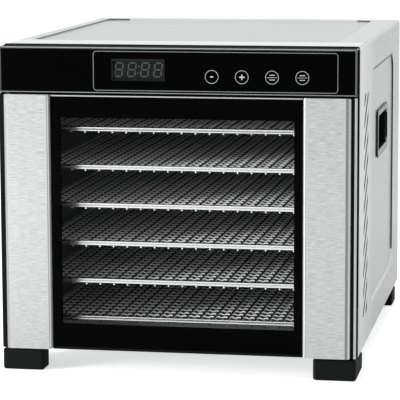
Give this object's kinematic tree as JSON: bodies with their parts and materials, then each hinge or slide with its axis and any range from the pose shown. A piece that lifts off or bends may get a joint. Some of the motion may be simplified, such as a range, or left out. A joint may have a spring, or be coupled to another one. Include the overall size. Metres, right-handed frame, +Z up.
{
  "type": "food dehydrator",
  "caption": "Countertop food dehydrator: steel housing with a hinged glass door, a touch control panel, slide-in mesh trays and a rear fan with a ring heater.",
  "frame": {"origin": "centre of the underside of the whole body, at the surface it stands on", "axes": "+Z up, the door faces -Y, +X to the right seen from the front"},
  "size_m": [0.345, 0.45, 0.316],
  "materials": {
    "brushed_steel": "fine horizontal brushing",
    "galvanised_steel": "plain galvanised sheet and steel wire",
    "bright_steel": "bright plated wire and trim",
    "gloss_black": "gloss black moulding",
    "satin_black": "satin black moulding and enamelled sheet",
    "circuit_board": "green circuit board",
    "black_rubber": "matte black rubber",
    "tinted_glass": "tempered glass with a black printed border"
  },
  "bodies": {
    "housing": {"outer_shell": "brushed_steel", "base_pan": "galvanised_steel", "rear_panel": "galvanised_steel", "cable_gland": "satin_black", "front_frame": "satin_black", "chamber_wall_right": "satin_black", "chamber_wall_left": "satin_black", "chamber_floor": "satin_black", "chamber_ceiling": "satin_black", "air_baffle": "satin_black", "temperature_sensor": "bright_steel", "bulkhead": "galvanised_steel", "motor_bracket": "galvanised_steel", "fan_motor": "galvanised_steel", "heater_element": "bright_steel", "heater_clip_left": "galvanised_steel", "heater_clip_right": "galvanised_steel", "thermal_cutout": "satin_black", "grip_cup_right": "satin_black", "grip_cup_left": "satin_black", "grip_bezel_right": "bright_steel", "grip_bezel_left": "bright_steel", "control_panel": "gloss_black", "control_window": "gloss_black", "display_module": "satin_black", "control_board": "circuit_board", "strike_plate": "galvanised_steel", "hinge_bracket_upper": "galvanised_steel", "hinge_bracket_lower": "galvanised_steel", "hinge_washer": "galvanised_steel", "foot_front_right": "black_rubber", "foot_front_left": "black_rubber", "foot_rear_right": "black_rubber", "foot_rear_left": "black_rubber"},
    "door": {"door_frame": "satin_black", "door_seal": "black_rubber", "door_glass": "tinted_glass", "door_plate_right": "brushed_steel", "door_plate_left": "brushed_steel", "door_edge_right": "satin_black", "door_edge_left": "satin_black", "door_magnet": "black_rubber", "hinge_pin_upper": "bright_steel", "hinge_pin_lower": "bright_steel"},
    "fan": {"fan_impeller": "satin_black", "fan_shaft": "bright_steel"},
    "tray_1": {"tray_frame_1": "bright_steel", "tray_mesh_1": "galvanised_steel"},
    "tray_2": {"tray_frame_2": "bright_steel", "tray_mesh_2": "galvanised_steel"},
    "tray_3": {"tray_frame_3": "bright_steel", "tray_mesh_3": "galvanised_steel"},
    "tray_4": {"tray_frame_4": "bright_steel", "tray_mesh_4": "galvanised_steel"},
    "tray_5": {"tray_frame_5": "bright_steel", "tray_mesh_5": "galvanised_steel"},
    "tray_6": {"tray_frame_6": "bright_steel", "tray_mesh_6": "galvanised_steel"}
  },
  "joints": [
    {"name": "door_hinge", "type": "hinge", "parent": "housing", "child": "door", "pos_m": [-0.165, -0.2125, 0.145], "axis": [0, 0, -1], "range_deg": [0, 160]},
    {"name": "fan_spin", "type": "hinge", "parent": "housing", "child": "fan", "pos_m": [0, 0.1555, 0.148], "axis": [0, 1, 0], "continuous": true},
    {"name": "tray_1_slide", "type": "slide", "parent": "housing", "child": "tray_1", "axis": [0, -1, 0], "range_m": [0, 0.09]},
    {"name": "tray_2_slide", "type": "slide", "parent": "housing", "child": "tray_2", "axis": [0, -1, 0], "range_m": [0, 0.09]},
    {"name": "tray_3_slide", "type": "slide", "parent": "housing", "child": "tray_3", "axis": [0, -1, 0], "range_m": [0, 0.09]},
    {"name": "tray_4_slide", "type": "slide", "parent": "housing", "child": "tray_4", "axis": [0, -1, 0], "range_m": [0, 0.09]},
    {"name": "tray_5_slide", "type": "slide", "parent": "housing", "child": "tray_5", "axis": [0, -1, 0], "range_m": [0, 0.09]},
    {"name": "tray_6_slide", "type": "slide", "parent": "housing", "child": "tray_6", "axis": [0, -1, 0], "range_m": [0, 0.09]}
  ],
  "couplings": [
    {"joint": "tray_1_slide", "follows": "door_hinge", "m_per_rad": 0.032},
    {"joint": "tray_2_slide", "follows": "door_hinge", "m_per_rad": 0.032},
    {"joint": "tray_3_slide", "follows": "door_hinge", "m_per_rad": 0.032},
    {"joint": "tray_4_slide", "follows": "door_hinge", "m_per_rad": 0.032},
    {"joint": "tray_5_slide", "follows": "door_hinge", "m_per_rad": 0.032},
    {"joint": "tray_6_slide", "follows": "door_hinge", "m_per_rad": 0.032}
  ]
}
